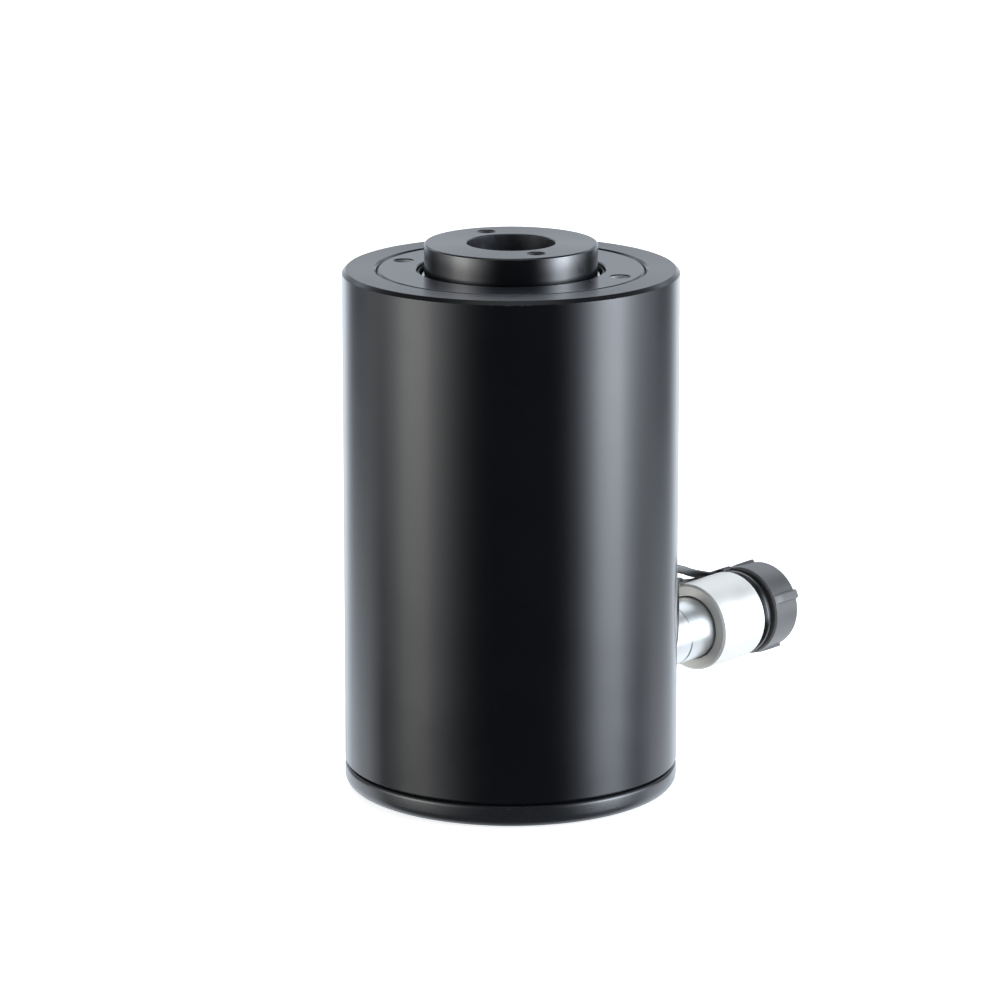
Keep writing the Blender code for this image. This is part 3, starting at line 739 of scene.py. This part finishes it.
SADDLE_TOP = 215.0
saddle = lathe("saddle_shape", [
    (17.5, 192.8, 0.15), (26.2, 192.8, 0.15), (26.7, 193.3, 0.15), (26.7, 202.8, 0.2),
    (33.1, 202.8, 0.1), (33.4, 203.1, 0.1), (33.4, SADDLE_TOP - 0.6, 0.2),
    (32.8, SADDLE_TOP, 0.2), (17.4, SADDLE_TOP, 0.15), (17.0, SADDLE_TOP - 0.4, 0.15),
    (17.0, 193.3, 0.15)], BIG)
cutters = []
for k, a in enumerate((63.2, 243.2)):
    x, y = polar(24.3, a)
    cutters.append(hole(f"saddle_pin_{k}", x, y, [
        (0, SADDLE_TOP - 6.6), (3.2, SADDLE_TOP - 6.0), (3.4, SADDLE_TOP - 5.8),
        (3.4, SADDLE_TOP - 0.4), (3.8, SADDLE_TOP), (3.8, SADDLE_TOP + 1),
        (0, SADDLE_TOP + 1)], 64))
carve(saddle, cutters)
put(saddle, "plunger_group", "saddle", "saddle")
walls(saddle, [polar(24.3, a) for a in (63.2, 243.2)], 3.6, SADDLE_TOP - 0.39, "dark_wall")
walls(saddle, [(0.0, 0.0)], 17.3, SADDLE_TOP - 0.3, "bore", deep=30.0)

# ---- return spring ----------------------------------------------------------------
spring = coil("return_spring_shape", helix(39.3, 69.3, 175.0, 7, 6.6, 64), 3.0, 18,
              upright)
put(spring, "root", "spring", "spring_steel")
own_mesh(spring)


# ---- port adapter and coupler body ---------------------------------------------
def hexagon(across_flats, t0, t1):
    """Keep a turned outline inside a hexagon between two stations."""
    def shape(r, t, th):
        if t0 <= t <= t1:
            flat = across_flats / 2 / cos((th % (pi / 3)) - pi / 6)
            return min(r, flat)
        return r
    return shape


def hex_thetas():
    out = []
    for k in range(6):
        base = k * pi / 3
        out += [base + radians(d) for d in (0, 2, 4, 7, 10, 14, 18, 22, 26, 30, 34, 38,
                                             42, 46, 50, 53, 56, 58)]
    return out


def chamfer_rows(r0, t0, r1, t1, count):
    return [(r0 + (r1 - r0) * k / count, t0 + (t1 - t0) * k / count)
            for k in range(count + 1)]


rows = [(3.0, 51.0, 0.2), (8.0, 51.0, 0.2), (8.7, 52.0, 0.2), (8.7, 63.9, 0.2),
        (11.3, 63.9)]
rows += chamfer_rows(11.4, 63.9, 13.86, 65.3, 7)
rows += chamfer_rows(13.86, 70.2, 11.4, 71.6, 7)
rows += [(11.3, 71.6), (8.0, 71.6, 0.2), (8.0, 84.0, 0.2), (7.4, 84.6, 0.2),
         (3.0, 84.6, 0.2)]
adapter = lathe("port_adapter_shape", rows, place=along, thetas=hex_thetas(),
                shape=hexagon(24.0, 63.9, 71.6), sharp=24.0)
put(adapter, "root", "zinc", "zinc_steel")

rows = [(8.3, 72.2, 0.2), (11.2, 72.2)]
rows += chamfer_rows(11.3, 72.2, 13.86, 73.65, 7)
rows += chamfer_rows(13.86, 78.2, 12.5, 79.2, 5)
rows += [(12.4, 79.4, 0.05), (12.4, 99.4, 0.1), (12.7, 100.0, 0.1), (12.7, 118.8, 0.1),
         (11.4, 118.8, 0.1), (11.4, 121.2, 0.1), (12.7, 121.2, 0.1), (12.7, 135.4, 0.2),
         (12.1, 136.0, 0.2), (9.0, 136.0, 0.3), (9.0, 126.2, 0.2), (4.2, 124.4, 0.2),
         (4.2, 121.8, 0.1), (7.0, 119.4, 0.2), (7.0, 92.0, 0.1), (3.0, 92.0, 0.2),
         (3.0, 86.0, 0.2), (8.3, 86.0, 0.1)]
coupler = lathe("coupler_body_shape", rows, place=along, thetas=hex_thetas(),
                shape=hexagon(24.0, 72.2, 79.3), sharp=24.0)
put(coupler, "root", "nickel", "nickel_steel")


# ---- sleeve with its inner thread, and the wire ring that holds it ------------------
PITCH = 2.0


def helical(inner, outer, t0, t1, depth, outward):
    """Cut a vee thread into the wall that lies between two radii."""
    def shape(r, t, th):
        if inner <= r <= outer and t0 < t < t1:
            u = ((t - PITCH * th / tau) / PITCH) % 1.0
            vee = 1.0 - abs(2 * u - 1.0)
            vee = min(1.0, max(0.0, vee * 1.3 - 0.15))
            fade = min(1.0, (t - t0) / 0.7, (t1 - t) / 0.7)
            return r + (depth if outward else -depth) * vee * fade
        return r
    return shape


rows = rounded([
    (13.2, 114.2, 0.12), (17.0, 114.2, 0.12), (17.9, 115.1, 0.2), (17.9, 140.9, 0.2),
    (17.2, 141.6, 0.15), (16.2, 141.6, 0.1), (15.7, 141.1, 0.05), (15.7, 140.4)],
    closed=False)
rows += [(15.7, 140.4 - 0.2 * j) for j in range(1, 100)]
rows += [(15.7, 118.4), (13.2, 118.4)]
sleeve = lathe("coupler_sleeve_shape", rows, 192, place=along, ready=True,
               shape=helical(15.6, 15.8, 121.0, 141.0, 0.7, True))
put(sleeve, "collar", "sleeve", "coupler_sleeve")
put(lathe("sleeve_retaining_ring_shape",
          [(13.3 + 0.9 * cos(tau * k / 16), 120.0 + 0.9 * sin(tau * k / 16))
           for k in range(16)], MID, place=along, ready=True),
    "root", "wire", "spring_steel")

# ---- check valve -----------------------------------------------------------------
put(lathe("coupler_poppet_shape", [
    (0.0, 104.0), (1.8, 104.0, 0.2), (1.8, 113.6, 0.2), (6.2, 113.6, 0.2),
    (6.2, 116.0, 0.3), (3.8, 116.0, 0.2), (3.8, 118.9, 0.3), (3.4, 121.6, 0.5),
    (3.4, 125.4, 0.3), (2.4, 126.8, 0.4), (0.0, 126.8)], SMALL, closed=False,
    place=along), "poppet", "nickel", "nickel_steel")
put(lathe("poppet_seal_shape",
          [(4.95 + 0.78 * cos(tau * k / 16), 117.2 + 0.78 * sin(tau * k / 16))
           for k in range(16)], SMALL, place=along, ready=True),
    "poppet", "nitrile", "nitrile")
valve_spring = coil("poppet_spring_shape", helix(4.9, 93.0, 112.6, 6, 1.7, 40), 0.6, 12,
                    along)
put(valve_spring, "root", "wire", "spring_steel")
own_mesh(valve_spring)

# ---- dust cap ----------------------------------------------------------------------
LUGS = [67.0, 157.0, 247.0, 337.0]


def ease(x):
    x = max(0.0, min(1.0, x))
    return x * x * (3 - 2 * x)


def cap_shape(r, t, th):
    if 15.0 <= r <= 15.35 and 137.2 < t < 148.4:
        return helical(15.0, 15.35, 137.2, 147.8, 0.7, False)(r, t, th)
    if r > 15.0 and t > 149.35:
        rise = 0.0
        for a in LUGS:
            gap = abs((degrees(th) - a + 180) % 360 - 180) * pi / 180 * 18.0
            rise = max(rise, ease((2.15 - gap) / 0.7))
        if rise:
            top = 18.25 + 0.6 * ease((t - 149.4) / 5.0) + 0.008 * (t - 150.0)
            if t > 163.85:
                top = max(r, 18.95 - 3.2 * ((t - 163.85) / 0.5) ** 2)
            return max(r, r + (top - r) * rise)
    return r


rows = rounded([
    (0.0, 160.5), (11.2, 160.5, 0.6), (11.2, 137.0, 0.3), (14.8, 137.0, 0.15),
    (15.3, 137.5, 0.1), (15.3, 137.8)], closed=False)
rows += [(15.3, 137.8 + 0.2 * j) for j in range(1, 52)]
rows += rounded([(15.3, 148.2), (15.3, 148.6, 0.15), (17.5, 148.6, 0.25),
                 (18.2, 149.4, 0.3), (18.18, 149.9)], closed=False)
rows += [(18.18 - 0.0335 * j, 149.9 + 1.0 * j) for j in range(1, 13)]
rows += [(17.75, 162.6)]
rows += [(16.25 + 1.5 * cos(radians(7.5 * j)), 163.0 + 1.5 * sin(radians(7.5 * j)))
         for j in range(13)]
rows += [(12.0, 164.5), (11.4, 164.42), (10.9, 164.2), (10.4, 164.12), (5.0, 164.12),
         (1.2, 164.12), (1.0, 164.2), (0.0, 164.24)]
lug_thetas = sorted(set(
    [round(radians(k * 2.5), 6) for k in range(144)]
    + [round(radians((a + d) % 360), 6) for a in LUGS
       for d in (-7.6, -7, -6.5, -6, -5.5, -5, -4.6, -4.2, -3.8, -3.4, -3, 3, 3.4, 3.8,
                 4.2, 4.6, 5, 5.5, 6, 6.5, 7, 7.6)]))
thin = [lug_thetas[0]]
for v in lug_thetas[1:]:
    if v - thin[-1] > radians(0.25):
        thin.append(v)
cap = lathe("dust_cap_shape", rows, closed=False, place=along, ready=True,
            shape=cap_shape, thetas=thin, sharp=38.0)
put(cap, "cap", "cap", "dust_cap")

# ---- strap and its ring ----------------------------------------------------------------
def off(t, side, up):
    return Vector((AXIS_X + t, side, COUPLER_Z + up))


def join(name, parts):
    bm = bmesh.new()
    for p in parts:
        bm.from_mesh(p.data)
    me = bpy.data.meshes.new(name)
    bm.to_mesh(me)
    bm.free()
    for p in parts:
        bpy.data.objects.remove(p, do_unlink=True)
    ob = bpy.data.objects.new(name, me)
    scene.collection.objects.link(ob)
    return ob


def fuse(ob, voxel, rounds):
    """One skin over overlapping parts, with softened inner corners."""
    mod = ob.modifiers.new("skin", "REMESH")
    mod.mode = "VOXEL"
    mod.voxel_size = voxel * MM
    mod.adaptivity = 0.0
    mod = ob.modifiers.new("soften", "SMOOTH")
    mod.factor = 0.5
    mod.iterations = rounds
    settle(ob, 60.0)
    return ob


TAB_AT = 59.0
hoop = lathe("hoop", [
    (15.6, 142.4, 0.2), (16.8, 142.4, 0.5), (17.6, 144.0, 0.9), (17.6, 145.3, 0.9),
    (16.4, 147.6, 0.8), (16.2, 148.2, 0.15), (15.6, 148.2, 0.2)], 192, place=along)
arc = [TAB_AT + 15.0 * k / 12 for k in range(-12, 13)]
outline = [(16.3, d) for d in arc] + [(17.6, arc[-1] + 0.6), (18.8, arc[-1] + 0.2)]
outline += [(19.2, d) for d in reversed(arc[1:-1])]
outline += [(18.8, arc[0] - 0.2), (17.6, arc[0] - 0.6)]
verts, faces = [], []
for t in (142.5, 143.0, 145.0, 147.4, 148.1):
    inset = 0.25 if t in (142.5, 148.1) else 0.0
    for r, d in outline:
        q = r - (inset if r > 18.0 else 0.0)
        verts.append(tuple(off(t, q * cos(radians(d)), q * sin(radians(d)))))
m = len(outline)
for k in range(4):
    for j in range(m):
        i = (j + 1) % m
        faces.append((k * m + j, k * m + i, (k + 1) * m + i, (k + 1) * m + j))
faces.append(tuple(range(m)))
faces.append(tuple(4 * m + j for j in reversed(range(m))))
tab = build("tab", verts, faces, merge=False)
cap_ring = fuse(join("strap_cap_ring_shape", [hoop, tab]), 0.17, 3)
put(cap_ring, "cap_ring", "cap_ring", "strap_rubber")

# centre line: along, side, up, and the angle the flat side faces from +Y to +Z
STRAP_PATH = [
    (142.1, 9.1, 16.3, 61), (138.0, 9.4, 16.2, 60), (134.0, 9.6, 16.9, 42),
    (130.0, 9.4, 17.9, 22), (126.0, 9.8, 19.3, 8), (122.0, 10.6, 21.0, 4),
    (116.0, 12.5, 22.6, 4), (110.0, 15.5, 22.0, 10), (104.0, 18.5, 18.5, 14),
    (97.0, 19.5, 11.0, 14), (91.0, 17.5, 2.0, 4), (86.0, 12.0, -8.0, -34),
    (83.0, 0.0, -14.8, -90), (83.0, -11.0, -9.8, -139), (84.5, -14.9, 1.5, -186),
    (88.0, -12.7, 11.5, -223), (94.0, -7.8, 17.7, -246), (101.0, -2.2, 20.6, -264),
    (107.5, 2.6, 21.0, -277), (113.0, 6.2, 19.5, -288), (118.0, 8.8, 17.5, -296),
    (122.0, 11.2, 15.9, -305), (127.0, 13.3, 14.4, -313), (132.0, 14.2, 13.4, -318),
    (137.0, 13.8, 13.5, -316), (142.1, 13.3, 13.7, -314),
]
path = catmull([off(*q[:3]) for q in STRAP_PATH], 10)
turns = catmull([Vector((q[3], 0.0, 0.0)) for q in STRAP_PATH], 10)
lifts = [Vector((0.0, cos(radians(q.x)), sin(radians(q.x)))) for q in turns]
strap = sweep("dust_cap_strap_shape", path, [oval(1.7, 0.55, 24, 4.0)] * len(path), lifts)
put(strap, None, "strap", "strap_rubber")
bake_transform(strap)


# ============================================================================
# studio
# ============================================================================
def make_floor():
    """A large pale flat floor disc the object stands on."""
    verts, faces = [], []
    rings = [0.0, 0.2, 0.5, 1.0, 2.0, 4.0, 8.0, 12.0]
    seg = 96
    for r in rings[1:]:
        for k in range(seg):
            a = tau * k / seg
            verts.append((r * cos(a), r * sin(a), -0.0006))
    verts.append((0.0, 0.0, -0.0006))
    centre = len(verts) - 1
    for k in range(seg):
        faces.append((centre, k, (k + 1) % seg))
    for j in range(len(rings) - 2):
        for k in range(seg):
            i = (k + 1) % seg
            faces.append((j * seg + k, (j + 1) * seg + k, (j + 1) * seg + i, j * seg + i))
    me = bpy.data.meshes.new("studio_floor")
    me.from_pydata(verts, [], faces)
    ob = bpy.data.objects.new("studio_floor", me)
    scene.collection.objects.link(ob)
    f = Finish("floor_paper")
    cloud = f.noise(1.4, 3.0, 0.5)
    colour = f.mix(cloud, (0.86, 0.86, 0.86), (0.90, 0.90, 0.90))
    f.bump(f.noise(700.0, 2.0, 0.5), 0.00002)
    f.done(colour, f.ramp(cloud, 0.2, 0.8, 0.7, 0.85), 0.0, 1.4)
    f.bsdf.inputs["Emission Color"].default_value = (1.0, 1.0, 1.0, 1.0)
    f.bsdf.inputs["Emission Strength"].default_value = 0.75
    me.materials.append(f.mat)
    ob.visible_glossy = False
    ob.visible_shadow = False
    return ob


def make_world(look_azimuth):
    """Soft boxes left and right of the viewer and a lit backdrop, as a function of
    direction in the room: azimuth from the front of the table, and elevation."""
    world = bpy.data.worlds.new("studio")
    scene.world = world
    world.use_nodes = True
    tree = world.node_tree
    tree.nodes.clear()

    def node(kind, **props):
        n = tree.nodes.new(kind)
        for k, v in props.items():
            setattr(n, k, v)
        return n

    def feed(v, s):
        if isinstance(v, bpy.types.NodeSocket):
            tree.links.new(v, s)
        else:
            s.default_value = v

    def math(op, a, b=0.0, clamp=False):
        n = node("ShaderNodeMath", operation=op, use_clamp=clamp)
        feed(a, n.inputs[0])
        feed(b, n.inputs[1])
        return n.outputs[0]

    def dot(vec, b):
        n = node("ShaderNodeVectorMath", operation="DOT_PRODUCT")
        feed(vec, n.inputs[0])
        n.inputs[1].default_value = b
        return n.outputs["Value"]

    def curve(value, stops):
        """Piecewise curve through (value in degrees, level) stops."""
        lo, hi = stops[0][0], stops[-1][0]
        n = node("ShaderNodeFloatCurve")
        unit = math("DIVIDE", math("SUBTRACT", value, lo), hi - lo, clamp=True)
        feed(unit, n.inputs["Value"])
        top = max(s[1] for s in stops)
        c = n.mapping.curves[0]
        pts = [((a - lo) / (hi - lo), b / top) for a, b in stops]
        c.points[0].location = pts[0]
        c.points[1].location = pts[-1]
        for p in pts[1:-1]:
            c.points.new(*p)
        for p in c.points:
            p.handle_type = "AUTO_CLAMPED"
        n.mapping.update()
        return math("MULTIPLY", n.outputs["Value"], top)

    a = radians(look_azimuth)
    front = (sin(a), -cos(a), 0.0)
    right = (cos(a), sin(a), 0.0)
    coord = node("ShaderNodeTexCoord").outputs["Generated"]
    unit = node("ShaderNodeVectorMath", operation="NORMALIZE")
    feed(coord, unit.inputs[0])
    d = unit.outputs[0]
    az = math("MULTIPLY", math("ARCTAN2", dot(d, right), dot(d, front)), 180 / pi)
    el = math("MULTIPLY", math("ARCSINE", dot(d, (0, 0, 1))), 180 / pi)
    side = math("ABSOLUTE", az)
    # two upright soft boxes, right and left of the viewer
    boxes = curve(az, [
        (-144, 0.0), (-130, 0.02), (-118, 0.3), (-106, 0.85), (-96, 1.4), (-84, 2.8),
        (-74, 4.5), (-66, 4.8), (-55, 3.3), (-43, 1.6), (-33, 0.62), (-22, 0.12),
        (-10, 0.0), (22, 0.0), (32, 0.08), (41, 0.7), (50, 2.7), (58, 6.2), (66, 9.9),
        (74, 11.0), (83, 7.9), (93, 4.2), (103, 2.1), (114, 0.75), (124, 0.12), (134, 0.0),
        (150, 0.0)])
    boxes = math("MULTIPLY", boxes, curve(el, [
        (-90, 0.0), (-20, 0.0), (-18, 0.02), (-16.5, 0.08), (-15, 0.28), (-13.5, 0.66),
        (-12, 0.92), (-10, 1.1), (-6, 1.15), (16, 1.05), (25, 0.75), (34, 0.3),
        (42, 0.06), (52, 0.0), (90, 0.0)]))
    # lit backdrop behind the object, and the bright table edge low down
    back = math("MULTIPLY", curve(side, [
        (0, 0.0), (106, 0.0), (116, 0.06), (125, 0.16), (134, 0.36), (143, 0.75),
        (151, 1.1), (159, 1.25), (169, 1.25), (180, 1.25)]), curve(el, [
            (-90, 0.0), (-20, 0.0), (-8, 0.1), (-2, 0.5), (4, 0.74), (10, 0.67), (14, 0.56),
            (22, 0.48), (38, 0.42), (52, 0.2), (68, 0.06), (90, 0.04)]))
    limb = math("MULTIPLY", curve(side, [
        (0, 0.0), (106, 0.0), (116, 0.07), (125, 0.2), (134, 0.4), (143, 1.15), (151, 2.0),
        (158, 2.35), (166, 2.0), (173, 1.4), (180, 1.0)]), curve(el, [
            (-90, 0.3), (-40, 0.5), (-20, 0.45), (-16.5, 0.52), (-14, 0.66), (-12, 0.7),
            (-6, 0.5), (0, 0.15), (5, 0.0),
            (90, 0.0)]))
    back = math("ADD", back, limb)
    low = math("MULTIPLY", curve(side, [
        (0, 0.0), (97, 0.0), (104, 0.6), (112, 1.3), (121, 1.85), (134, 1.75), (143, 1.15),
        (151, 0.6), (165, 0.2), (180, 0.1)]),
        curve(el, [(-90, 0.4), (-40, 0.7), (-20, 1.0), (-17, 0.84), (-15.2, 0.58),
                   (-13.6, 0.16), (-12, 0.0), (90, 0.0)]))
    # faint fill from the front, floor and ceiling
    fill = curve(el, [(-90, 0.10), (-40, 0.05), (-20, 0.03), (10, 0.03), (50, 0.045),
                      (62, 0.1), (71, 0.5), (77, 0.75), (90, 0.75)])
    # high bank of light behind and to the sides, seen by the coupler only
    high = math("MULTIPLY", curve(side, [
        (0, 0.0), (124, 0.0), (138, 0.9), (152, 1.2), (180, 1.2)]), curve(el, [
            (-90, 0.0), (14, 0.0), (24, 0.8), (36, 1.0), (52, 0.8), (62, 0.1), (90, 0.0)]))
    back = math("ADD", back, high)
    level = math("ADD", math("ADD", boxes, back), math("MAXIMUM", low, fill))
    tint = node("ShaderNodeMix", data_type="RGBA")
    away = math("ABSOLUTE", math("ADD", az, 65.0))
    feed(math("DIVIDE", away, 75.0, clamp=True), tint.inputs[0])
    tint.inputs[6].default_value = (1.0, 1.0, 0.98, 1.0)
    tint.inputs[7].default_value = (0.925, 1.0, 1.10, 1.0)
    room = node("ShaderNodeBackground")
    feed(tint.outputs[2], room.inputs["Color"])
    feed(level, room.inputs["Strength"])
    paper = node("ShaderNodeBackground")
    paper.inputs["Color"].default_value = (1.0, 1.0, 1.0, 1.0)
    paper.inputs["Strength"].default_value = 1.2
    ray = node("ShaderNodeLightPath")
    mix = node("ShaderNodeMixShader")
    feed(ray.outputs["Is Camera Ray"], mix.inputs[0])
    feed(room.outputs[0], mix.inputs[1])
    feed(paper.outputs[0], mix.inputs[2])
    out = node("ShaderNodeOutputWorld")
    feed(mix.outputs[0], out.inputs["Surface"])


# ---- camera, fitted to the photograph ------------------------------------------------
LOOK = -50.0                     # azimuth of the camera about the cylinder axis
DISTANCE = 1.876
CAM_Z = 0.57516
PITCH_DOWN = 0.24147
YAW = -0.00225
LENS = 179.015


def make_camera():
    data = bpy.data.cameras.new("camera")
    cam = bpy.data.objects.new("camera", data)
    scene.collection.objects.link(cam)
    data.sensor_width = 36.0
    data.lens = LENS
    data.clip_start, data.clip_end = 0.01, 60.0
    turn = Matrix.Rotation(radians(LOOK), 4, "Z")
    cam.location = Matrix.Translation((AX, 0, 0)) @ turn @ Vector((0, -DISTANCE, CAM_Z))
    ahead = turn.to_3x3() @ Vector((sin(YAW) * cos(PITCH_DOWN), cos(YAW) * cos(PITCH_DOWN),
                                    -sin(PITCH_DOWN)))
    cam.rotation_mode = "QUATERNION"
    cam.rotation_quaternion = ahead.to_track_quat("-Z", "Y")
    scene.camera = cam


make_floor()
make_world(LOOK)
make_camera()
scene.view_settings.view_transform = "Standard"
scene.view_settings.look = "None"
